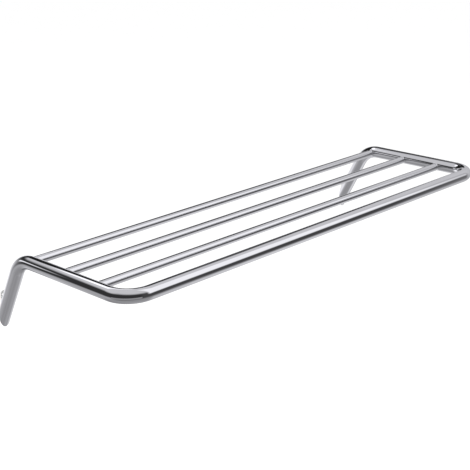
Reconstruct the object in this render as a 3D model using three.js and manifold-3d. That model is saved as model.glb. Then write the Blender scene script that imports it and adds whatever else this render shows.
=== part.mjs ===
// A wall-mounted towel rack. One bent tube makes the front rail, both arms and both legs, three
// straight rods cross between the arms, and each leg slides over a round spigot on a wall plate.
//
// Millimetres, +Z up, +X to the right along the wall, +Y into the wall. The wall's face is the
// plane y = 0. The origin is on it, midway between the legs, at the middle of their slanted feet.

import * as THREE from "three";
import { mergeVertices } from "three/addons/utils/BufferGeometryUtils.js";
import Module from "manifold-3d";

// ---- Driving dimensions ----

const LEG_SPACING = 600; // between the legs' axes
const RAIL_TO_WALL = 227; // from the front rail's axis to the wall's face
const ARM_HEIGHT = 77; // the arms' axes above the middle of the feet
const LEG_LEAN = THREE.MathUtils.degToRad(30); // the legs' angle from the vertical

const TUBE_RADIUS = 8;
const TUBE_WALL = 1.5;
const FRONT_BEND_RADIUS = 28; // of the tube's axis, where the arms meet the rail
const REAR_BEND_RADIUS = 36; // where the arms turn down into the legs

const ROD_RADIUS = 5;
const ROD_WALL = 1;
const ROD_COUNT = 3;
const ROD_PITCH = RAIL_TO_WALL / (ROD_COUNT + 1); // rail, rods and wall are evenly spaced
const ROD_DROP = 1.7; // the rods' axes below the arms'
const ROD_INSIDE_ARM = 5.5; // how far a rod's end reaches past the arm's inner side

const PLATE_WIDTH = 8;
const PLATE_THICKNESS = 3;
const PLATE_TOP = 30;
const PLATE_BOTTOM = -6;
const WALL_HOLE_HEIGHT = 24;
const WALL_HOLE_RADIUS = 2;
const WALL_HOLE_SINK_RADIUS = 3.2;

const SPIGOT_LENGTH = 42; // up the leg, from the wall's face on the leg's axis
const SPIGOT_CHAMFER = 1.2;

const PLATE_SCREW_HEIGHT = 2;
const PLATE_SCREW_RADIUS = 1.5;
const PLATE_SCREW_HEAD_RADIUS = 2.8;
const PLATE_SCREW_HEAD_DEPTH = 1.6;
const PLATE_SCREW_LENGTH = 7;
const PLATE_SCREW_SOCKET = 2; // across the flats

const LOCK_SCREW_UP_LEG = 32; // from the wall's face, along the leg's axis
const LOCK_SCREW_RADIUS = 2;
const LOCK_SCREW_LENGTH = 4;
const LOCK_SCREW_SUNK = 0.15; // below the tube's outer skin
const LOCK_SCREW_SOCKET = 2;
const SOCKET_DEPTH = 1.6;

const GAP = 0.3; // between pieces that touch

// ---- Smoothness ----

const TUBE_SIDES = 32;
const ROD_SIDES = 24;
const SMALL_SIDES = 20;
const STEPS_PER_BEND = 8;

// ---- Derived sizes ----

const ARM_X = LEG_SPACING / 2;
const ROD_HEIGHT = ARM_HEIGHT - ROD_DROP;
const TUBE_BORE = TUBE_RADIUS - TUBE_WALL;
const SPIGOT_RADIUS = TUBE_BORE - GAP;
const CORNER_Y = -ARM_HEIGHT * Math.tan(LEG_LEAN); // where an arm's axis meets its leg's
const PAST_WALL = 2 * TUBE_RADIUS / Math.tan(LEG_LEAN); // spare length that the wall's plane trims
const FOOT_CLEARANCE = 1;

const UP_LEG = new THREE.Vector3(0, -Math.sin(LEG_LEAN), Math.cos(LEG_LEAN));

// ---- Solids: joining and cutting ----

const wasm = await Module();
wasm.setup();

function solid(geometry) {
  const bare = geometry.clone();
  bare.deleteAttribute("normal");
  bare.deleteAttribute("uv");
  const merged = mergeVertices(bare, 1e-4);
  const mesh = new wasm.Mesh({
    numProp: 3,
    vertProperties: new Float32Array(merged.attributes.position.array),
    triVerts: new Uint32Array(merged.index.array),
  });
  return new wasm.Manifold(mesh);
}

function geometryOf(manifold) {
  const mesh = manifold.getMesh();
  const geometry = new THREE.BufferGeometry();
  geometry.setAttribute("position", new THREE.BufferAttribute(mesh.vertProperties, 3));
  geometry.setIndex(new THREE.BufferAttribute(mesh.triVerts, 1));
  geometry.computeVertexNormals();
  return geometry;
}

function cut(body, ...cutters) {
  let left = body;
  for (const cutter of cutters) {
    left = left.subtract(cutter);
  }
  return left;
}

// ---- Shapes ----

function ring(outer, inner) {
  const shape = new THREE.Shape().absarc(0, 0, outer, 0, 2 * Math.PI);
  shape.holes.push(new THREE.Path().absarc(0, 0, inner, 0, 2 * Math.PI));
  return shape;
}

// An arc of any angle gets two sides for each of a shape's curve segments.
function curveSegments(sidesOfArc) {
  return sidesOfArc / 2;
}

// A closed body of revolution on the line from start along direction. Each point of the outline
// is [distance along the line, radius].
function turned(outline, start, direction, sides) {
  const profile = outline.map(([along, radius]) => new THREE.Vector2(radius, along));
  const geometry = new THREE.LatheGeometry(profile, sides);
  const turn = new THREE.Quaternion().setFromUnitVectors(new THREE.Vector3(0, 1, 0), direction);
  geometry.applyQuaternion(turn);
  geometry.translate(start.x, start.y, start.z);
  return solid(geometry);
}

function round(radius, length, start, direction, sides) {
  const outline = [[0, 0], [0, radius], [length, radius], [length, 0]];
  return turned(outline, start, direction, sides);
}

// A hexagonal socket, sunk from start along direction.
function hexSocket(acrossFlats, depth, start, direction) {
  const cornerRadius = acrossFlats / 2 / Math.cos(Math.PI / 6);
  return round(cornerRadius, depth, start, direction, 6);
}

// Everything behind the wall's face.
function behindWall() {
  const side = 2 * LEG_SPACING;
  return solid(new THREE.BoxGeometry(side, side, side).translate(0, side / 2, 0));
}

// ---- The bent tube's axis ----

// Straight runs joined by round bends. Its parameter counts stations, not length, so that a
// straight run is one step and each bend has the same number of steps.
class BentAxis extends THREE.Curve {
  constructor(corners, bendRadii, stepsPerBend) {
    super();
    this.points = [corners[0]];
    this.tangents = [corners[1].clone().sub(corners[0]).normalize()];
    for (let i = 1; i < corners.length - 1; i += 1) {
      this.addBend(corners[i - 1], corners[i], corners[i + 1], bendRadii[i - 1], stepsPerBend);
    }
    this.points.push(corners[corners.length - 1]);
    this.tangents.push(this.tangents[this.tangents.length - 1]);
  }

  addBend(before, corner, after, radius, steps) {
    const inward = corner.clone().sub(before).normalize();
    const outward = after.clone().sub(corner).normalize();
    const angle = inward.angleTo(outward);
    const start = corner.clone().addScaledVector(inward, -radius * Math.tan(angle / 2));
    const axis = inward.clone().cross(outward).normalize();
    const toCentre = axis.clone().cross(inward);
    const centre = start.clone().addScaledVector(toCentre, radius);
    for (let step = 0; step <= steps; step += 1) {
      const swung = (angle * step) / steps;
      const spoke = toCentre.clone().multiplyScalar(-radius).applyAxisAngle(axis, swung);
      this.points.push(centre.clone().add(spoke));
      this.tangents.push(inward.clone().applyAxisAngle(axis, swung));
    }
  }

  get steps() {
    return this.points.length - 1;
  }

  getPointAt(u, target = new THREE.Vector3()) {
    return target.copy(this.points[Math.round(u * this.steps)]);
  }

  getTangentAt(u, target = new THREE.Vector3()) {
    return target.copy(this.tangents[Math.round(u * this.steps)]);
  }
}

function frameAxis() {
  const pastFoot = UP_LEG.clone().multiplyScalar(-PAST_WALL);
  const foot = (x) => pastFoot.clone().setX(x);
  const corners = [
    foot(-ARM_X),
    new THREE.Vector3(-ARM_X, CORNER_Y, ARM_HEIGHT),
    new THREE.Vector3(-ARM_X, -RAIL_TO_WALL, ARM_HEIGHT),
    new THREE.Vector3(ARM_X, -RAIL_TO_WALL, ARM_HEIGHT),
    new THREE.Vector3(ARM_X, CORNER_Y, ARM_HEIGHT),
    foot(ARM_X),
  ];
  const radii = [REAR_BEND_RADIUS, FRONT_BEND_RADIUS, FRONT_BEND_RADIUS, REAR_BEND_RADIUS];
  return new BentAxis(corners, radii, STEPS_PER_BEND);
}

// ---- The rods' places ----

// The rods are numbered from the front.
function rodY(number) {
  return -RAIL_TO_WALL + number * ROD_PITCH;
}

// The blind hole in an arm's inner side that takes a rod's end.
function rodHole(number, side) {
  const before = 1;
  const start = new THREE.Vector3(side * (ARM_X - TUBE_RADIUS - before), rodY(number), ROD_HEIGHT);
  const outward = new THREE.Vector3(side, 0, 0);
  return round(ROD_RADIUS + GAP, before + ROD_INSIDE_ARM + GAP, start, outward, ROD_SIDES);
}

// ---- Openings that the pieces share, about a foot whose middle is at the origin ----

function plateOutline(margin) {
  const radius = PLATE_WIDTH / 2 + margin;
  const top = PLATE_TOP - PLATE_WIDTH / 2;
  const bottom = PLATE_BOTTOM + PLATE_WIDTH / 2;
  const outline = new THREE.Shape();
  outline.absarc(0, top, radius, 0, Math.PI);
  outline.absarc(0, bottom, radius, Math.PI, 2 * Math.PI);
  return outline;
}

// The plate's solid, grown by a margin at its edge and front, and by a reach behind the wall's face.
function plateSolid(margin, reach) {
  const geometry = new THREE.ExtrudeGeometry(plateOutline(margin), {
    depth: PLATE_THICKNESS + margin + reach,
    bevelEnabled: false,
    curveSegments: curveSegments(SMALL_SIDES / 2),
  });
  geometry.rotateX(Math.PI / 2);
  geometry.translate(0, reach, 0);
  return solid(geometry);
}

// The way from a leg's axis to its inner side, which faces the other leg.
function innerSide(side) {
  return new THREE.Vector3(-side, 0, 0);
}

// A place on the lock screw's line, at a distance from the leg's axis.
function onLockLine(side, distance) {
  const upLeg = UP_LEG.clone().multiplyScalar(LOCK_SCREW_UP_LEG);
  return upLeg.addScaledVector(innerSide(side), distance);
}

// A radial hole for the lock screw, between two distances from the leg's axis.
function lockHole(side, radius, from, to) {
  return round(radius, to - from, onLockLine(side, from), innerSide(side), SMALL_SIDES);
}

function atFoot(manifold, side) {
  return manifold.translate([side * ARM_X, 0, 0]);
}

// ---- The pieces ----

function frameTube() {
  const axis = frameAxis();
  const swept = new THREE.ExtrudeGeometry(ring(TUBE_RADIUS, TUBE_BORE), {
    steps: axis.steps,
    extrudePath: axis,
    curveSegments: curveSegments(TUBE_SIDES),
  });
  const cutters = [behindWall()];
  for (const side of [-1, 1]) {
    cutters.push(atFoot(plateSolid(GAP, FOOT_CLEARANCE), side));
    const lock = lockHole(side, LOCK_SCREW_RADIUS + GAP, SPIGOT_RADIUS, TUBE_RADIUS + 1);
    cutters.push(atFoot(lock, side));
    for (let rod = 1; rod <= ROD_COUNT; rod += 1) {
      cutters.push(rodHole(rod, side));
    }
  }
  return cut(solid(swept), ...cutters);
}

function crossRod(number) {
  const halfLength = ARM_X - TUBE_RADIUS + ROD_INSIDE_ARM;
  const geometry = new THREE.ExtrudeGeometry(ring(ROD_RADIUS, ROD_RADIUS - ROD_WALL), {
    depth: 2 * halfLength,
    bevelEnabled: false,
    curveSegments: curveSegments(ROD_SIDES),
  });
  geometry.translate(0, 0, -halfLength);
  geometry.rotateY(Math.PI / 2);
  geometry.translate(0, rodY(number), ROD_HEIGHT);
  return solid(geometry);
}

// A painted strip with round ends. Its upper hole takes the wall screw, countersunk from the front, and
// its lower hole takes the screw of the spigot, countersunk from behind.
function wallPlate() {
  const intoRoom = new THREE.Vector3(0, -1, 0);
  const wallHole = turned(
    [
      [-1, 0],
      [-1, WALL_HOLE_RADIUS],
      [PLATE_THICKNESS - WALL_HOLE_SINK_RADIUS + WALL_HOLE_RADIUS, WALL_HOLE_RADIUS],
      [PLATE_THICKNESS, WALL_HOLE_SINK_RADIUS],
      [PLATE_THICKNESS + 1, WALL_HOLE_SINK_RADIUS],
      [PLATE_THICKNESS + 1, 0],
    ],
    new THREE.Vector3(0, 0, WALL_HOLE_HEIGHT),
    intoRoom,
    SMALL_SIDES,
  );
  const screwHole = turned(
    [
      [-1, 0],
      [-1, PLATE_SCREW_HEAD_RADIUS + GAP],
      [GAP, PLATE_SCREW_HEAD_RADIUS + GAP],
      [PLATE_SCREW_HEAD_DEPTH + GAP, PLATE_SCREW_RADIUS + GAP],
      [PLATE_THICKNESS + 1, PLATE_SCREW_RADIUS + GAP],
      [PLATE_THICKNESS + 1, 0],
    ],
    new THREE.Vector3(0, 0, PLATE_SCREW_HEIGHT),
    intoRoom,
    SMALL_SIDES,
  );
  return cut(plateSolid(0, 0), wallHole, screwHole);
}

// A round plug that fills the leg's end, cut along the wall's face and slotted for the wall plate.
function spigot(side) {
  const body = turned(
    [
      [-PAST_WALL, 0],
      [-PAST_WALL, SPIGOT_RADIUS],
      [SPIGOT_LENGTH - SPIGOT_CHAMFER, SPIGOT_RADIUS],
      [SPIGOT_LENGTH, SPIGOT_RADIUS - SPIGOT_CHAMFER],
      [SPIGOT_LENGTH, 0],
    ],
    new THREE.Vector3(0, 0, 0),
    UP_LEG,
    TUBE_SIDES,
  );
  const screwHole = round(
    PLATE_SCREW_RADIUS + GAP,
    PLATE_SCREW_LENGTH + 2 * GAP,
    new THREE.Vector3(0, 0, PLATE_SCREW_HEIGHT),
    new THREE.Vector3(0, -1, 0),
    SMALL_SIDES,
  );
  const lockBottom = TUBE_RADIUS - LOCK_SCREW_SUNK - LOCK_SCREW_LENGTH - GAP;
  const lockPocket = lockHole(side, LOCK_SCREW_RADIUS + GAP, lockBottom, TUBE_RADIUS);
  return cut(body, behindWall(), plateSolid(GAP, FOOT_CLEARANCE), screwHole, lockPocket);
}

// A countersunk machine screw, from the plate's back into the spigot.
function plateScrew() {
  const start = new THREE.Vector3(0, -GAP, PLATE_SCREW_HEIGHT);
  const intoRoom = new THREE.Vector3(0, -1, 0);
  const body = turned(
    [
      [0, 0],
      [0, PLATE_SCREW_HEAD_RADIUS],
      [PLATE_SCREW_HEAD_DEPTH - GAP, PLATE_SCREW_RADIUS],
      [PLATE_SCREW_LENGTH - GAP, PLATE_SCREW_RADIUS],
      [PLATE_SCREW_LENGTH, PLATE_SCREW_RADIUS - GAP],
      [PLATE_SCREW_LENGTH, 0],
    ],
    start,
    intoRoom,
    SMALL_SIDES,
  );
  const mouth = start.clone().setY(0);
  return cut(body, hexSocket(PLATE_SCREW_SOCKET, SOCKET_DEPTH, mouth, intoRoom));
}

// A headless screw in the leg's inner side. It reaches into the spigot and keeps the leg on it.
function lockScrew(side) {
  const outer = TUBE_RADIUS - LOCK_SCREW_SUNK;
  const start = onLockLine(side, outer);
  const intoLeg = innerSide(side).negate();
  const body = turned(
    [
      [0, 0],
      [0, LOCK_SCREW_RADIUS - GAP],
      [GAP, LOCK_SCREW_RADIUS],
      [LOCK_SCREW_LENGTH - 2 * GAP, LOCK_SCREW_RADIUS],
      [LOCK_SCREW_LENGTH, LOCK_SCREW_RADIUS - 2 * GAP],
      [LOCK_SCREW_LENGTH, 0],
    ],
    start,
    intoLeg,
    SMALL_SIDES,
  );
  const mouth = onLockLine(side, outer + GAP);
  return cut(body, hexSocket(LOCK_SCREW_SOCKET, SOCKET_DEPTH + GAP, mouth, intoLeg));
}

// ---- Assembly ----

const polishedChrome = { color: 0xd6d8dc, roughness: 0.06, metalness: 1 };
const whiteCoat = { color: 0xf0f0ee, roughness: 0.45, metalness: 0 };
const stainless = { color: 0xb9bbbd, roughness: 0.3, metalness: 1 };
const zincPlated = { color: 0xa6a8ab, roughness: 0.38, metalness: 1 };

const rack = new THREE.Group();

function addPiece(name, manifold, look, parent = rack) {
  const mesh = new THREE.Mesh(geometryOf(manifold), new THREE.MeshStandardMaterial(look));
  mesh.name = name;
  parent.add(mesh);
}

addPiece("frame_tube", frameTube(), polishedChrome);

const rodNames = ["rod_front", "rod_middle", "rod_rear"];
for (const [index, name] of rodNames.entries()) {
  addPiece(name, crossRod(index + 1), polishedChrome);
}

for (const [name, side] of [["left", -1], ["right", 1]]) {
  const fixing = new THREE.Group();
  fixing.position.x = side * ARM_X;
  addPiece(`${name}_wall_plate`, wallPlate(), whiteCoat, fixing);
  addPiece(`${name}_spigot`, spigot(side), zincPlated, fixing);
  addPiece(`${name}_plate_screw`, plateScrew(), zincPlated, fixing);
  addPiece(`${name}_lock_screw`, lockScrew(side), stainless, fixing);
  rack.add(fixing);
}

export default rack;
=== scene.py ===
"""A chrome towel rack on a wall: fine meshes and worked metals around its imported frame.

Metres, +X right along the wall, +Y into the wall, whose face is y = 0, and +Z up.
"""

import math

import bmesh
import bpy
import numpy as np
from mathutils import Matrix, Quaternion, Vector


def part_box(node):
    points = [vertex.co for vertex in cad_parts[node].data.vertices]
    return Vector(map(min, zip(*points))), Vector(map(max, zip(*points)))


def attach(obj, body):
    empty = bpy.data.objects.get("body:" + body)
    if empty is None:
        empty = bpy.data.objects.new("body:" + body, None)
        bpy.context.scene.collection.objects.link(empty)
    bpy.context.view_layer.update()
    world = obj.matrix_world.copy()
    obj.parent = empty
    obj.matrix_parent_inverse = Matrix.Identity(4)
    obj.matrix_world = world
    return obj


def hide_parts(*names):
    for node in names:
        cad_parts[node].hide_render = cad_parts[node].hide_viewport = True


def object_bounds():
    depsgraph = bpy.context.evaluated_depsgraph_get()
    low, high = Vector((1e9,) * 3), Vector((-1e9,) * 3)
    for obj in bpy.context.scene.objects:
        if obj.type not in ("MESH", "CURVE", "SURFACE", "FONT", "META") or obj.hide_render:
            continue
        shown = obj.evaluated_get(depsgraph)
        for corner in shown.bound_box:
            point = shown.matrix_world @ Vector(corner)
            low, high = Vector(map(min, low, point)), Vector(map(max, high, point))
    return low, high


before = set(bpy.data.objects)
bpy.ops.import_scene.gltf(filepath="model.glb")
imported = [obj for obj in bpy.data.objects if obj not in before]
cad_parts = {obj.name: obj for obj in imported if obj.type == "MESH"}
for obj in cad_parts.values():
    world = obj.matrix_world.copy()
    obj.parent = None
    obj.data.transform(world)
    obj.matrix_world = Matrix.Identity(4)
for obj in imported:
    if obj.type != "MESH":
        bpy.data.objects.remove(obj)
CAD_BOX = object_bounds()

MM = 0.001
X_AXIS = Vector((1, 0, 0))
Y_AXIS = Vector((0, 1, 0))
Z_AXIS = Vector((0, 0, 1))

# ---- Sizes that the frame gives ----

TUBE_LO, TUBE_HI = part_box("frame_tube")
PLATE_LO, PLATE_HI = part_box("right_wall_plate")
ARM_X = (PLATE_LO.x + PLATE_HI.x) / 2
TUBE_RADIUS = TUBE_HI.x - ARM_X
RAIL_Y = TUBE_LO.y + TUBE_RADIUS
ARM_Z = TUBE_HI.z - TUBE_RADIUS
LEG_LEAN = math.asin(TUBE_RADIUS / -TUBE_LO.z)  # from the vertical
CORNER_Y = -ARM_Z * math.tan(LEG_LEAN)  # where an arm's axis meets its leg's
RODS = ("rod_front", "rod_middle", "rod_rear")
SIDES = (("left", -1), ("right", 1))

# ---- Sizes that it doesn't ----

FRONT_BEND_RADIUS = 28 * MM  # of the tube's axis, where the arms meet the rail
REAR_BEND_RADIUS = 36 * MM  # where the arms turn down into the legs
TUBE_WALL = 1.5 * MM
TUBE_BORE = TUBE_RADIUS - TUBE_WALL
BRAZE_RADIUS = 0.8 * MM
SET_INTO_ARM = 0.7 * MM  # how far a rod's closed end sinks into the arm's wall
GAP = 0.3 * MM
EDGE = 0.25 * MM  # the rounding of small pieces' edges

WALL_HOLE_HEIGHT = 24 * MM
WALL_HOLE_RADIUS = 2 * MM
WALL_HOLE_SINK_RADIUS = 3.2 * MM

SPIGOT_RADIUS = TUBE_BORE - GAP
SPIGOT_LENGTH = 42 * MM  # up the leg, from the wall's face on the leg's axis
SPIGOT_CHAMFER = 1.2 * MM

PLATE_SCREW_HEIGHT = 2 * MM
PLATE_SCREW_RADIUS = 1.5 * MM
PLATE_SCREW_HEAD_RADIUS = 2.8 * MM
PLATE_SCREW_HEAD_DEPTH = 1.6 * MM
PLATE_SCREW_LENGTH = 7 * MM

LOCK_SCREW_UP_LEG = 32 * MM
LOCK_SCREW_RADIUS = 2 * MM
LOCK_SCREW_LENGTH = 4 * MM
LOCK_SCREW_SUNK = 0.15 * MM  # below the tube's outer skin

SOCKET_FLATS = 2 * MM
SOCKET_DEPTH = 1.6 * MM
DRILL_POINT_DEPTH = 0.45 * MM  # below a socket's flat bottom
THREAD_PITCH = 0.5 * MM
THREAD_DEPTH = 0.14 * MM

UP_LEG = Vector((0, -math.sin(LEG_LEAN), math.cos(LEG_LEAN)))
INTO_ROOM = -Y_AXIS
PAST_WALL = 2 * TUBE_RADIUS / math.tan(LEG_LEAN)  # spare leg that the wall's face trims
BEHIND_WALL = 5 * MM  # how far a cutter reaches behind the wall's face

# ---- Smoothness ----

TUBE_SIDES = 96
ROD_SIDES = 72
SMALL_SIDES = 48
BEND_STEP = math.radians(2)
STRAIGHT_STEP = 12 * MM
BRAZE_STEPS = 10
ROD_END_RINGS = (0.12, 0.4, 0.7, 0.9, 1)  # shares of the braze's radius, over a rod's hidden end
SHARP_ANGLE = math.radians(35)
ON_SURFACE = 0.02 * MM  # a point this near to a surface lies on it
TIE = 1e-9  # distances that differ by less are equal


# ---- Meshes from rings ----


def circle(sides):
    """Unit (cos, sin) pairs round a circle."""
    return [(math.cos(2 * math.pi * i / sides), math.sin(2 * math.pi * i / sides)) for i in range(sides)]


def object_from(bm, name):
    """A smooth object from a bmesh, with sharp edges kept sharp."""
    bmesh.ops.recalc_face_normals(bm, faces=bm.faces)
    mesh = bpy.data.meshes.new(name)
    bm.to_mesh(mesh)
    bm.free()
    mesh.shade_smooth()
    mesh.set_sharp_from_angle(angle=SHARP_ANGLE)
    piece = bpy.data.objects.new(name, mesh)
    bpy.context.scene.collection.objects.link(piece)
    return piece


def joined_rings(rings, name, endless=False):
    """Rings of equally many points, joined in order. The last joins the first, or both ends are closed."""
    bm = bmesh.new()
    made = [[bm.verts.new(point) for point in ring] for ring in rings]
    pairs = list(zip(made, made[1:]))
    if endless:
        pairs.append((made[-1], made[0]))
    for near, far in pairs:
        for i in range(len(near)):
            j = (i + 1) % len(near)
            bm.faces.new((near[i], near[j], far[j], far[i]))
    if not endless:
        bm.faces.new(made[0])
        bm.faces.new(made[-1])
    return object_from(bm, name)


def turned(outline, start, direction, name, sides=SMALL_SIDES):
    """A closed body of revolution from start along direction. The outline is (distance along, radius) pairs.

    A radius is a number, or a function of the angle for a ring that isn't round.
    """
    turn = Z_AXIS.rotation_difference(direction)
    rings = []
    for along, radius in outline:
        ring = []
        for i in range(sides):
            angle = 2 * math.pi * i / sides
            reach = radius(angle) if callable(radius) else radius
            spot = Vector((reach * math.cos(angle), reach * math.sin(angle), along))
            ring.append(start + turn @ spot)
        rings.append(ring)
    return joined_rings(rings, name)


def hexagon(across_flats):
    """The radius of a hexagon as a function of the angle."""

    def radius(angle):
        off_flat = (angle + math.pi / 6) % (math.pi / 3) - math.pi / 6
        return across_flats / 2 / math.cos(off_flat)

    return radius


def cut(piece, cutters):
    """Takes the cutters out of a piece, and removes them."""
    for cutter in cutters:
        modifier = piece.modifiers.new("cut", "BOOLEAN")
        modifier.operation = "DIFFERENCE"
        modifier.solver = "EXACT"
        modifier.object = cutter
    bpy.context.view_layer.update()
    evaluated = piece.evaluated_get(bpy.context.evaluated_depsgraph_get())
    whole = piece.data
    piece.data = bpy.data.meshes.new_from_object(evaluated)
    piece.modifiers.clear()
    bpy.data.meshes.remove(whole)
    for cutter in cutters:
        bpy.data.objects.remove(cutter)
    piece.data.shade_smooth()
    piece.data.set_sharp_from_angle(angle=SHARP_ANGLE)


# ---- The bent tube's axis ----


class Straight:
    """A straight run of the axis, with one fixed direction across it."""

    def __init__(self, start, end, across, along):
        self.start, self.end, self.across, self.along = start, end, across, along
        self.length = (end - start).length
        self.tangent = (end - start).normalized()

    def stations(self):
        steps = max(1, math.ceil(self.length / STRAIGHT_STEP))
        for i in range(steps + 1):
            yield self.start.lerp(self.end, i / steps), self.tangent, self.across

    def nearest(self, points):
        """For each point: its nearest axis point, the length along to there, and across and tangent."""
        start, tangent = np.array(self.start), np.array(self.tangent)
        reach = np.clip((points - start) @ tangent, 0, self.length)
        spots = start + reach[:, None] * tangent
        across = np.broadcast_to(np.array(self.across), points.shape)
        return spots, self.along + reach, across, np.broadcast_to(tangent, points.shape)


class Bend:
    """A round bend of the axis. The direction across turns with it."""

    def __init__(self, start, tangent, across, hinge, angle, radius, along):
        self.start, self.tangent, self.across, self.hinge = start, tangent, across, hinge
        self.angle, self.radius, self.along = angle, radius, along
        self.length = radius * angle
        self.centre = start + hinge.cross(tangent) * radius

    def swing(self, vector, angle):
        return Quaternion(self.hinge, angle) @ vector

    def stations(self):
        steps = math.ceil(self.angle / BEND_STEP)
        for i in range(steps + 1):
            swung = self.angle * i / steps
            spot = self.centre + self.swing(self.start - self.centre, swung)
            yield spot, self.swing(self.tangent, swung), self.swing(self.across, swung)

    def nearest(self, points):
        """As Straight.nearest."""
        spoke = np.array((self.start - self.centre).normalized())
        tangent, hinge = np.array(self.tangent), np.array(self.hinge)
        across = np.array(self.across)
        offset = points - np.array(self.centre)
        swung = np.clip(np.arctan2(offset @ tangent, offset @ spoke), 0, self.angle)
        cos, sin = np.cos(swung)[:, None], np.sin(swung)[:, None]
        spots = np.array(self.centre) + self.radius * (spoke * cos + tangent * sin)
        on_hinge = (across @ hinge) * hinge
        flat = across - on_hinge
        swung_across = on_hinge + flat * cos + np.cross(hinge, flat) * sin
        return spots, self.along + self.radius * swung, swung_across, tangent * cos - spoke * sin


def tube_axis():
    """The straight runs and bends, from behind the left foot to behind the right foot."""
    past_foot = -UP_LEG * PAST_WALL
    corners = [
        Vector((-ARM_X, 0, 0)) + past_foot,
        Vector((-ARM_X, CORNER_Y, ARM_Z)),
        Vector((-ARM_X, RAIL_Y, ARM_Z)),
        Vector((ARM_X, RAIL_Y, ARM_Z)),
        Vector((ARM_X, CORNER_Y, ARM_Z)),
        Vector((ARM_X, 0, 0)) + past_foot,
    ]
    radii = [REAR_BEND_RADIUS, FRONT_BEND_RADIUS, FRONT_BEND_RADIUS, REAR_BEND_RADIUS]
    runs = []
    start, across, along = corners[0], X_AXIS.copy(), 0.0
    for i in range(1, len(corners) - 1):
        inward = (corners[i] - corners[i - 1]).normalized()
        outward = (corners[i + 1] - corners[i]).normalized()
        angle = inward.angle(outward)
        hinge = inward.cross(outward).normalized()
        before_corner = radii[i - 1] * math.tan(angle / 2)
        bend_start = corners[i] - inward * before_corner
        runs.append(Straight(start, bend_start, across, along))
        along += runs[-1].length
        runs.append(Bend(bend_start, inward, across, hinge, angle, radii[i - 1], along))
        along += runs[-1].length
        across = runs[-1].swing(across, angle)
        start = corners[i] + outward * before_corner
    runs.append(Straight(start, corners[-1], across, along))
    return runs


def nearest_on(runs, points):
    """Each point's nearest place on the axis: spot, length along, and the two directions across."""
    best = np.full(len(points), np.inf)
    spots, across, tangents = (np.zeros_like(points) for _ in range(3))
    along = np.zeros(len(points))
    for run in runs:
        spot, reach, side, tangent = run.nearest(points)
        distance = np.linalg.norm(points - spot, axis=1)
        closer = distance < best - TIE
        best[closer] = distance[closer]
        spots[closer], along[closer] = spot[closer], reach[closer]
        across[closer], tangents[closer] = side[closer], tangent[closer]
    return spots, along, across, np.cross(tangents, across)


def set_straightened(piece, values):
    """Stores each point's place if its tube were straight along X, which the polishing marks follow."""
    attribute = piece.data.attributes.new("straightened", "FLOAT_VECTOR", "POINT")
    attribute.data.foreach_set("vector", np.asarray(values, np.float32).ravel())


def points_of(mesh):
    """A mesh's points as rows of x, y and z."""
    flat = np.zeros(len(mesh.vertices) * 3)
    mesh.vertices.foreach_get("co", flat)
    return flat.reshape(-1, 3)


def follow_axis(piece, runs):
    """Gives the tube's skin and bore exact round normals, and stores its straightened points."""
    mesh = piece.data
    points = points_of(mesh)
    spots, along, across, other = nearest_on(runs, points)
    offset = points - spots
    radius = np.linalg.norm(offset, axis=1)
    set_straightened(piece, np.stack([along, (offset * across).sum(1), (offset * other).sum(1)], 1))
    outward = offset / radius[:, None]
    on_skin = np.abs(radius - TUBE_RADIUS) < ON_SURFACE
    on_bore = np.abs(radius - TUBE_BORE) < ON_SURFACE
    normals = np.zeros((len(mesh.loops), 3))
    for face in mesh.polygons:
        corners = list(face.vertices)
        slots = list(face.loop_indices)
        if on_skin[corners].all():
            normals[slots] = outward[corners]
        elif on_bore[corners].all():
            normals[slots] = -outward[corners]
        else:
            normals[slots] = face.normal
    mesh.normals_split_custom_set(normals)


# ---- The pieces ----


def stadium(half_width, bottom, top, corner_sides=SMALL_SIDES // 2):
    """(x, z) points of an upright strip with round ends."""
    points = []
    for middle, first_angle in ((top - half_width, 0), (bottom + half_width, math.pi)):
        for i in range(corner_sides + 1):
            angle = first_angle + math.pi * i / corner_sides
            points.append((half_width * math.cos(angle), middle + half_width * math.sin(angle)))
    return points


def plate_cutter(side):
    """The room that a wall plate takes in a leg, with a gap all round."""
    half_width = (PLATE_HI.x - PLATE_LO.x) / 2 + GAP
    outline = stadium(half_width, PLATE_LO.z - GAP, PLATE_HI.z + GAP)
    rings = []
    for y in (BEHIND_WALL, PLATE_LO.y - GAP):
        rings.append([Vector((side * ARM_X + x, y, z)) for x, z in outline])
    return joined_rings(rings, "cutter")


def foot_point(side, z=0.0):
    """A point on the wall's face, at a height above a foot's middle."""
    return Vector((side * ARM_X, 0, z))


def inner_side(side):
    """The way from a leg's axis to its inner side, which faces the other leg."""
    return X_AXIS * -side


def on_lock_line(side, distance):
    """A place on the lock screw's line, at a distance from the leg's axis."""
    return foot_point(side) + UP_LEG * LOCK_SCREW_UP_LEG + inner_side(side) * distance


def lock_hole_cutter(side):
    """The lock screw's hole in a leg, with a bevelled rim."""
    inside = TUBE_BORE / 2
    radius = LOCK_SCREW_RADIUS + GAP
    rim = TUBE_RADIUS - inside
    outline = [(0, radius), (rim - 2 * EDGE, radius), (rim + 2 * EDGE, radius + 4 * EDGE)]
    return turned(outline, on_lock_line(side, inside), inner_side(side), "cutter")


def to_wall(ring):
    """A ring round a leg's axis, moved along the leg onto the wall's face."""
    return [point + UP_LEG * (point.y / math.sin(LEG_LEAN)) for point in ring]


def is_clear_of_wall(spot):
    """Whether a whole ring round this place on a leg's axis is in front of the wall."""
    return -spot.y / math.sin(LEG_LEAN) > TUBE_RADIUS / math.tan(LEG_LEAN) + MM


def tube_rings(stations, radius):
    """A ring round each station, and one in the wall's face at either end."""
    rings = []
    for spot, tangent, across in stations:
        other = tangent.cross(across)
        rings.append([spot + radius * (across * cos + other * sin) for cos, sin in circle(TUBE_SIDES)])
    return [to_wall(rings[0])] + rings + [to_wall(rings[-1])]


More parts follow.
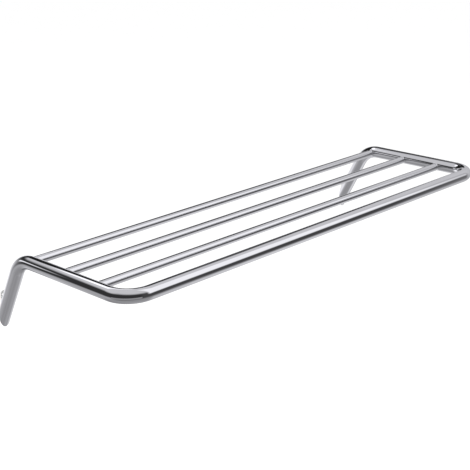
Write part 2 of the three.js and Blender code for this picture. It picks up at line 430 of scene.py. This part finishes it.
def finished(piece, replaced):
    """Puts a piece in place of a frame node."""
    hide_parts(replaced)
    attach(piece, "root")
    return piece


def frame_tube(runs):
    """The bent tube, open at both feet, slotted for the wall plates and holed for the lock screws."""
    stations = []
    for run in runs:
        shared = 1 if stations else 0
        stations += list(run.stations())[shared:]
    stations = [station for station in stations if is_clear_of_wall(station[0])]
    skin = tube_rings(stations, TUBE_RADIUS)
    bore = tube_rings(stations, TUBE_BORE)
    piece = joined_rings(skin + bore[::-1], "frame_tube_chrome", endless=True)
    cut(piece, [make(side) for _, side in SIDES for make in (plate_cutter, lock_hole_cutter)])
    follow_axis(piece, runs)
    return finished(piece, "frame_tube")


def cross_rod(name, runs):
    """A round rod between the arms. Its ends are coped to them and flare out in a small braze."""
    low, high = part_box(name)
    y, z = (low.y + high.y) / 2, (low.z + high.z) / 2
    radius = (high.z - low.z) / 2

    def coped(ring_radius, back):
        """A ring at a distance back from the right arm's skin."""
        ring = [(ARM_X, y + ring_radius * cos, z + ring_radius * sin) for cos, sin in circle(ROD_SIDES)]
        places = np.array(ring)
        off_axis = np.linalg.norm(places - nearest_on(runs, places)[0], axis=1)
        places[:, 0] -= np.sqrt(TUBE_RADIUS**2 - off_axis**2) + back
        return [Vector(place) for place in places]

    flare = radius + BRAZE_RADIUS
    end = [coped(flare * share, -SET_INTO_ARM) for share in ROD_END_RINGS]
    for i in range(BRAZE_STEPS + 1):
        angle = math.pi / 2 * i / BRAZE_STEPS
        end.append(coped(flare - BRAZE_RADIUS * math.sin(angle), BRAZE_RADIUS * (1 - math.cos(angle))))
    end.append(coped(radius, 2 * BRAZE_RADIUS))
    end.append(coped(radius, 4 * BRAZE_RADIUS))
    reach = ARM_X - 2 * TUBE_RADIUS
    count = math.ceil(2 * reach / STRAIGHT_STEP)
    middle = []
    for i in range(count + 1):
        x = reach - 2 * reach * i / count
        middle.append([Vector((x, y + radius * cos, z + radius * sin)) for cos, sin in circle(ROD_SIDES)])
    mirrored = [[Vector((-point.x, point.y, point.z)) for point in ring] for ring in reversed(end)]
    piece = joined_rings(end + middle + mirrored, name + "_chrome")
    set_straightened(piece, points_of(piece.data) - np.array((0, y, z)))
    return finished(piece, name)


def rounded_edge(steps=4):
    """(inset, depth) pairs round a quarter circle, from an end face to the side."""
    for i in range(steps + 1):
        angle = math.pi / 2 * i / steps
        yield EDGE * (1 - math.sin(angle)), EDGE * (1 - math.cos(angle))


def wall_plate(name, side):
    """A painted strip with round ends and edges, holed for the wall screw and for the spigot's screw."""
    half_width = (PLATE_HI.x - PLATE_LO.x) / 2
    thickness = PLATE_HI.y - PLATE_LO.y

    def level(y, inset):
        outline = stadium(half_width - inset, PLATE_LO.z + inset, PLATE_HI.z - inset)
        return [Vector((side * ARM_X + x, y, z)) for x, z in outline]

    back = [level(-depth, inset) for inset, depth in rounded_edge()]
    front = [level(-thickness + depth, inset) for inset, depth in rounded_edge()]
    piece = joined_rings(back + front[::-1], name + "_coated")
    sink_slope = WALL_HOLE_SINK_RADIUS - WALL_HOLE_RADIUS
    wall_hole = [
        (-MM, WALL_HOLE_RADIUS),
        (thickness - sink_slope, WALL_HOLE_RADIUS),
        (thickness + MM, WALL_HOLE_SINK_RADIUS + MM),
    ]
    head_hole = PLATE_SCREW_HEAD_RADIUS + GAP
    screw_hole = [
        (-MM, head_hole),
        (GAP, head_hole),
        (PLATE_SCREW_HEAD_DEPTH + GAP, PLATE_SCREW_RADIUS + GAP),
        (thickness + MM, PLATE_SCREW_RADIUS + GAP),
    ]
    cutters = [
        turned(wall_hole, foot_point(side, WALL_HOLE_HEIGHT), INTO_ROOM, "cutter"),
        turned(screw_hole, foot_point(side, PLATE_SCREW_HEIGHT), INTO_ROOM, "cutter"),
    ]
    cut(piece, cutters)
    return finished(piece, name)


def spigot(name, side):
    """The plug inside a leg's end: chamfered, cut along the wall's face, and slotted for the plate."""
    middle = foot_point(side)

    def level(up_leg, radius):
        centre = middle + UP_LEG * up_leg
        other = UP_LEG.cross(X_AXIS)
        return [centre + radius * (X_AXIS * cos + other * sin) for cos, sin in circle(TUBE_SIDES)]

    whole = SPIGOT_LENGTH - SPIGOT_CHAMFER
    rings = [to_wall(level(whole, SPIGOT_RADIUS)), level(whole, SPIGOT_RADIUS)]
    rings.append(level(SPIGOT_LENGTH, SPIGOT_RADIUS - SPIGOT_CHAMFER))
    piece = joined_rings(rings, name + "_turned")
    hole_radius = PLATE_SCREW_RADIUS + GAP
    screw_hole = [(-MM, hole_radius), (PLATE_SCREW_LENGTH + 2 * GAP, hole_radius)]
    pocket_radius = LOCK_SCREW_RADIUS + GAP
    pocket_bottom = TUBE_RADIUS - LOCK_SCREW_SUNK - LOCK_SCREW_LENGTH - GAP
    pocket = [(0, pocket_radius), (TUBE_RADIUS - pocket_bottom, pocket_radius)]
    cutters = [
        plate_cutter(side),
        turned(screw_hole, foot_point(side, PLATE_SCREW_HEIGHT), INTO_ROOM, "cutter"),
        turned(pocket, on_lock_line(side, pocket_bottom), inner_side(side), "cutter"),
    ]
    cut(piece, cutters)
    return finished(piece, name)


def socket_outline():
    """A hexagonal socket from its drilled bottom to its mouth, as turned takes it."""
    hexagonal = hexagon(SOCKET_FLATS)
    return [
        (SOCKET_DEPTH + DRILL_POINT_DEPTH, 0.02 * MM),
        (SOCKET_DEPTH, 0.9 * SOCKET_FLATS / 2),
        (SOCKET_DEPTH, hexagonal),
        (EDGE, hexagonal),
        (0, lambda angle: hexagonal(angle) + 0.6 * EDGE),
    ]


def threaded(radius, start, end):
    """Fine V grooves round a shank, as rings, four to a groove."""
    steps = 4 * round((end - start) / THREAD_PITCH)
    for i in range(steps + 1):
        share = i / steps
        depth = THREAD_DEPTH * abs((i % 4) - 2) / 2
        yield start + (end - start) * share, radius - depth


def plate_screw(name, side):
    """A countersunk machine screw, from the plate's back into the spigot."""
    outline = socket_outline() + [
        (0, PLATE_SCREW_HEAD_RADIUS - EDGE),
        (0.6 * EDGE, PLATE_SCREW_HEAD_RADIUS),
        (PLATE_SCREW_HEAD_DEPTH - GAP, PLATE_SCREW_RADIUS),
        *threaded(PLATE_SCREW_RADIUS, PLATE_SCREW_HEAD_DEPTH, PLATE_SCREW_LENGTH - GAP),
        (PLATE_SCREW_LENGTH, PLATE_SCREW_RADIUS - 1.5 * GAP),
    ]
    start = foot_point(side, PLATE_SCREW_HEIGHT) + INTO_ROOM * GAP
    piece = turned(outline, start, INTO_ROOM, name + "_threaded")
    return finished(piece, name)


def lock_screw(name, side):
    """A headless screw in a leg's inner side, with a cupped point."""
    point = LOCK_SCREW_RADIUS - 2 * GAP
    outline = socket_outline() + [
        (0, LOCK_SCREW_RADIUS - EDGE),
        *threaded(LOCK_SCREW_RADIUS, EDGE, LOCK_SCREW_LENGTH - 2 * GAP),
        (LOCK_SCREW_LENGTH, point),
        (LOCK_SCREW_LENGTH, point - GAP),
        (LOCK_SCREW_LENGTH - GAP, 0.1 * point),
    ]
    start = on_lock_line(side, TUBE_RADIUS - LOCK_SCREW_SUNK)
    piece = turned(outline, start, -inner_side(side), name + "_threaded")
    return finished(piece, name)


# ---- Materials ----


class Nodes:
    """The node tree of a material or a world, with a short way to add and link nodes."""

    def __init__(self, owner):
        owner.use_nodes = True
        self.tree = owner.node_tree
        self.tree.nodes.clear()

    def add(self, kind, settings=None, **inputs):
        """Adds a node, sets its own settings, and sets or links its inputs by name."""
        node = self.tree.nodes.new(kind)
        for key, value in (settings or {}).items():
            setattr(node, key, value)
        for key, value in inputs.items():
            self.put(node, key.replace("_", " "), value)
        return node

    def put(self, node, socket, value):
        """Links a value to an input, or sets it there. The socket is a name or a number."""
        if isinstance(value, bpy.types.NodeSocket):
            self.tree.links.new(value, node.inputs[socket])
        else:
            node.inputs[socket].default_value = value

    def show(self, shader, output="ShaderNodeOutputMaterial"):
        """Makes a shader node what the tree puts out."""
        self.put(self.add(output), "Surface", shader.outputs[0])

    def place(self):
        """The point on the object, in metres."""
        return self.add("ShaderNodeTexCoord").outputs["Object"]

    def math(self, operation, *values):
        node = self.tree.nodes.new("ShaderNodeMath")
        node.operation = operation
        for i, value in enumerate(values):
            self.put(node, i, value)
        return node.outputs[0]

    def ranged(self, value, low, high, to_low, to_high):
        """Maps low..high smoothly to to_low..to_high, clamped."""
        node = self.add("ShaderNodeMapRange", {"interpolation_type": "SMOOTHSTEP"}, Value=value)
        for key, number in (("From Min", low), ("From Max", high), ("To Min", to_low), ("To Max", to_high)):
            node.inputs[key].default_value = number
        return node.outputs["Result"]

    def scaled(self, vector, scale):
        """A vector times a vector."""
        node = self.tree.nodes.new("ShaderNodeVectorMath")
        node.operation = "MULTIPLY"
        self.put(node, 0, vector)
        self.put(node, 1, scale)
        return node.outputs[0]

    def noise(self, vector, scale, detail=2.0, roughness=0.5):
        node = self.add("ShaderNodeTexNoise", Vector=vector, Scale=scale, Detail=detail, Roughness=roughness)
        return node.outputs["Fac"]

    def mixed(self, factor, first, second):
        """A colour between two colours."""
        node = self.add("ShaderNodeMix", {"data_type": "RGBA"})
        self.put(node, 0, factor)
        self.put(node, 6, first)
        self.put(node, 7, second)
        return node.outputs[2]

    def bump(self, height, distance, strength=1.0, normal=None):
        node = self.add("ShaderNodeBump", Height=height, Distance=distance, Strength=strength)
        if normal is not None:
            self.put(node, "Normal", normal)
        return node.outputs["Normal"]

    def metal(self, tint, roughness, normal):
        looks = {"Base_Color": tint, "Metallic": 1.0, "Roughness": roughness, "Normal": normal}
        return self.add("ShaderNodeBsdfPrincipled", **looks)


def polished_chrome():
    """Mirror plating: a faint ripple from the tube's polishing, wiping marks, and dried water spots."""
    material = bpy.data.materials.new("polished_chrome")
    n = Nodes(material)
    straightened = n.add("ShaderNodeAttribute", {"attribute_name": "straightened"}).outputs["Vector"]
    place = n.place()
    # Marks per metre along and across the tube: fine lines round it, broad wiping, and a slow ripple.
    lines = n.noise(n.scaled(straightened, (2600, 90, 90)), 1.0, 3.0, 0.6)
    wiped = n.noise(n.scaled(straightened, (26, 60, 60)), 1.0, 4.0, 0.55)
    ripple = n.noise(n.scaled(straightened, (45, 120, 120)), 1.0, 1.0, 0.4)
    # Each water spot is a thin ring, and the spots come in patches.
    spots = n.add("ShaderNodeTexVoronoi", {"feature": "F1"}, Vector=place, Scale=95.0, Randomness=1.0)
    off_rim = n.math("ABSOLUTE", n.math("SUBTRACT", spots.outputs["Distance"], 0.16))
    spotted_area = n.ranged(n.noise(place, 14.0), 0.55, 0.7, 0.0, 1.0)
    spotted = n.math("MULTIPLY", n.ranged(off_rim, 0.05, 0.0, 0.0, 1.0), spotted_area)
    roughness = n.math("ADD", n.ranged(wiped, 0.42, 0.72, 0.02, 0.06), n.ranged(lines, 0.4, 0.75, 0.0, 0.02))
    roughness = n.math("ADD", roughness, n.math("MULTIPLY", spotted, 0.06))
    normal = n.bump(ripple, 0.012 * MM)
    normal = n.bump(lines, 0.0006 * MM, normal=normal)
    tint = n.mixed(n.ranged(wiped, 0.3, 0.8, 0.0, 1.0), (0.72, 0.722, 0.738, 1), (0.685, 0.69, 0.706, 1))
    shader = n.metal(tint, roughness, normal)
    n.put(shader, "Specular Tint", (0.8, 0.8, 0.8, 1))  # keeps the grazing edges grey
    n.show(shader)
    return material


def cast_metal(name, colour, worn, grain_scale, roughness):
    """A dull metal with a fine grain and slightly lighter, smoother high spots."""
    material = bpy.data.materials.new(name)
    n = Nodes(material)
    place = n.place()
    grain = n.noise(place, grain_scale, 4.0, 0.6)
    cloud = n.noise(place, grain_scale / 12, 3.0, 0.5)
    tint = n.mixed(n.ranged(cloud, 0.35, 0.7, 0.0, 1.0), colour, worn)
    rough = n.ranged(grain, 0.3, 0.7, roughness - 0.06, roughness + 0.1)
    normal = n.bump(grain, 0.02 * MM, 0.6)
    n.show(n.metal(tint, rough, normal))
    return material


def screw_steel(name, colour, worn):
    """Machined steel: fine turned lines in roughness and bump, and a cloudy tone."""
    material = bpy.data.materials.new(name)
    n = Nodes(material)
    place = n.place()
    lines = n.noise(n.scaled(place, (900, 900, 2600)), 1.0, 4.0, 0.65)
    cloud = n.noise(place, 400.0, 3.0, 0.5)
    tint = n.mixed(n.ranged(cloud, 0.3, 0.7, 0.0, 1.0), colour, worn)
    rough = n.math("ADD", n.ranged(lines, 0.3, 0.7, 0.22, 0.36), n.ranged(cloud, 0.4, 0.7, 0.0, 0.06))
    normal = n.bump(lines, 0.008 * MM, 0.8)
    n.show(n.metal(tint, rough, normal))
    return material


def powder_coat():
    """Satin white coating: a faint orange peel and an uneven gloss, and round the wall hole bare steel
    painted near black as shade in the hole.
    """
    material = bpy.data.materials.new("white_plate")
    n = Nodes(material)
    place = n.place()
    peel = n.noise(place, 1600.0, 2.0, 0.4)
    cloud = n.noise(place, 160.0, 3.0, 0.5)
    tint = n.mixed(n.ranged(cloud, 0.35, 0.75, 0.0, 1.0), (0.87, 0.87, 0.86, 1), (0.82, 0.82, 0.8, 1))
    # Round the wall hole, on both plates: bare steel where the drill cut the coat, painted near black as the
    # shade inside the hole.
    parts = n.add("ShaderNodeSeparateXYZ", Vector=place).outputs
    across = n.math("SUBTRACT", n.math("ABSOLUTE", parts["X"]), ARM_X)
    up = n.math("SUBTRACT", parts["Z"], WALL_HOLE_HEIGHT)
    squares = n.math("ADD", n.math("MULTIPLY", across, across), n.math("MULTIPLY", up, up))
    from_hole = n.math("SQRT", squares)
    shaded_bare_radius = WALL_HOLE_RADIUS + 0.6 * MM
    shaded_bare_steel = n.ranged(from_hole, shaded_bare_radius - 0.1 * MM, shaded_bare_radius + 0.1 * MM, 1.0, 0.0)
    # The near-black colour is painted shade on the hole's bore and sink, not the colour of bare steel.
    tint = n.mixed(shaded_bare_steel, tint, (0.07, 0.07, 0.075, 1))
    rough = n.math("ADD", n.ranged(cloud, 0.3, 0.7, 0.38, 0.46), n.ranged(peel, 0.35, 0.65, 0.0, 0.08))
    normal = n.bump(peel, 0.03 * MM, 0.5)
    n.show(n.add("ShaderNodeBsdfPrincipled", Base_Color=tint, Roughness=rough, Normal=normal))
    return material


def give(piece, material):
    """Makes a material the piece's only one."""
    piece.data.materials.clear()
    piece.data.materials.append(material)


# ---- The studio ----

FLOOR_DROP = 1.5  # the rack hangs this far above the floor
FLOOR_SIZE = 60
WHITE = (1, 1, 1, 1)
WORLD_STRENGTH = 1.15

# A light tent round the rack, which its chrome mirrors. Each panel has its azimuth and half its width,
# its lowest and highest elevation and its softness, all in degrees, and its brightness. Azimuth 0 is +X
# and 90 is +Y, the wall's side. Each panel covers those before it.
PANELS = {
    "table": (0, 200, -91, -17, 32, 0.36),
    "lit table": (5, 53, -53, -38, 27, 1.44),
    "dark room": (-107, 80, -32, 36, 15, 0.07),
    "dark left": (170, 84, -13, 30, 7.5, 0.04),
    "left window": (127, 11, 6, 12, 2.5, 1.4),
    "left shelf": (-148, 42, -25, -7, 1.3, 0.35),
    "key box": (-56, 27, 11, 90, 7, 1.2),
    "back flag": (62, 36, 13, 48, 1.2, 0.02),
    "flag's sheen": (36, 13, 29, 50, 1.5, 0.12),
    "back box": (83, 23, 40, 50, 1.5, 1.6),
    "white sweep": (80, 38, -34, 1, 18, 1.35),
}
TENT_RADIUS = 1.35
TENT_CEILING = 0.74  # the brightness where there is no panel
TENT_COLOUR = (1.006, 1, 1.035, 1)  # daylight, a little blue


def tent():
    """A dome that only reflections see."""
    bm = bmesh.new()
    bmesh.ops.create_uvsphere(bm, u_segments=48, v_segments=24, radius=TENT_RADIUS)
    dome = object_from(bm, "light_tent")
    material = bpy.data.materials.new("light_tent")
    n = Nodes(material)
    place = n.place()
    parts = n.add("ShaderNodeSeparateXYZ", Vector=place).outputs
    azimuth = n.math("ARCTAN2", parts["Y"], parts["X"])
    elevation = n.math("ARCSINE", n.math("DIVIDE", parts["Z"], TENT_RADIUS))
    light = TENT_CEILING
    for *angles, brightness in PANELS.values():
        middle, half, low, high, soft = (math.radians(angle) for angle in angles)
        shifted = n.math("FLOORED_MODULO", n.math("ADD", azimuth, math.pi - middle), 2 * math.pi)
        away = n.math("ABSOLUTE", n.math("SUBTRACT", shifted, math.pi))
        inside = n.ranged(away, half + soft, half - soft, 0.0, 1.0)
        above = n.ranged(elevation, low - soft, low + soft, 0.0, 1.0)
        below = n.ranged(elevation, high + soft, high - soft, 0.0, 1.0)
        cover = n.math("MULTIPLY", inside, n.math("MULTIPLY", above, below))
        step = n.math("SUBTRACT", brightness, light)
        light = n.math("MULTIPLY_ADD", cover, step, light)
    glow = n.add("ShaderNodeEmission", Color=TENT_COLOUR, Strength=light)
    n.show(glow)
    give(dome, material)
    dome.location = (CAD_BOX[0] + CAD_BOX[1]) / 2
    dome.visible_camera = False
    dome.visible_diffuse = False
    dome.visible_shadow = False


def studio_floor():
    """A pale floor, which reflections don't see."""
    bm = bmesh.new()
    bmesh.ops.create_grid(bm, x_segments=8, y_segments=8, size=FLOOR_SIZE)
    floor = object_from(bm, "floor")
    floor.location = (0, 0, TUBE_LO.z - FLOOR_DROP)
    floor.visible_glossy = False
    material = bpy.data.materials.new("pale_floor")
    n = Nodes(material)
    n.show(n.add("ShaderNodeBsdfPrincipled", Base_Color=(0.86, 0.86, 0.86, 1), Roughness=0.9))
    give(floor, material)


def studio_light():
    """Even white light from all round, and one large soft box overhead."""
    world = bpy.data.worlds.new("studio")
    bpy.context.scene.world = world
    n = Nodes(world)
    n.show(n.add("ShaderNodeBackground", Color=WHITE, Strength=WORLD_STRENGTH), "ShaderNodeOutputWorld")
    lamp = bpy.data.lights.new("soft_box", "AREA")
    lamp.shape = "SQUARE"
    lamp.size = 3.0
    lamp.energy = 60.0
    box = bpy.data.objects.new("soft_box", lamp)
    box.location = (1.5, 1.0, 2.5)
    box.visible_glossy = False
    box.visible_camera = False
    bpy.context.scene.collection.objects.link(box)


def camera():
    """From the front left and above, with a longer lens."""
    data = bpy.data.cameras.new("camera")
    data.lens = 87.28
    data.sensor_width = 36.0
    data.shift_y = 0.0407
    eye = bpy.data.objects.new("camera", data)
    eye.location = (-0.9532, -1.0528, 0.5022)
    yaw, pitch, roll = math.radians(44.238), math.radians(19.93), math.radians(-1.805)
    aim = Matrix.Rotation(-yaw, 4, "Z") @ Matrix.Rotation(math.pi / 2 - pitch, 4, "X")
    turn = aim @ Matrix.Rotation(roll, 4, "Z")
    eye.rotation_euler = turn.to_euler()
    bpy.context.scene.collection.objects.link(eye)
    bpy.context.scene.camera = eye


# ---- Assembly ----

bpy.context.scene.view_settings.view_transform = "Standard"

chrome = polished_chrome()
coat = powder_coat()
lock_steel = screw_steel("stainless_screw", (0.66, 0.66, 0.67, 1), (0.55, 0.56, 0.57, 1))
plated_steel = screw_steel("zinc_plated_screw", (0.56, 0.57, 0.6, 1), (0.68, 0.67, 0.62, 1))
zinc = cast_metal("cast_zinc", (0.47, 0.48, 0.5, 1), (0.58, 0.59, 0.6, 1), 2200.0, 0.42)

axis_runs = tube_axis()
give(frame_tube(axis_runs), chrome)
for rod in RODS:
    give(cross_rod(rod, axis_runs), chrome)
for side_name, side_sign in SIDES:
    give(wall_plate(side_name + "_wall_plate", side_sign), coat)
    give(spigot(side_name + "_spigot", side_sign), zinc)
    give(plate_screw(side_name + "_plate_screw", side_sign), plated_steel)
    give(lock_screw(side_name + "_lock_screw", side_sign), lock_steel)

tent()
studio_floor()
studio_light()
camera()
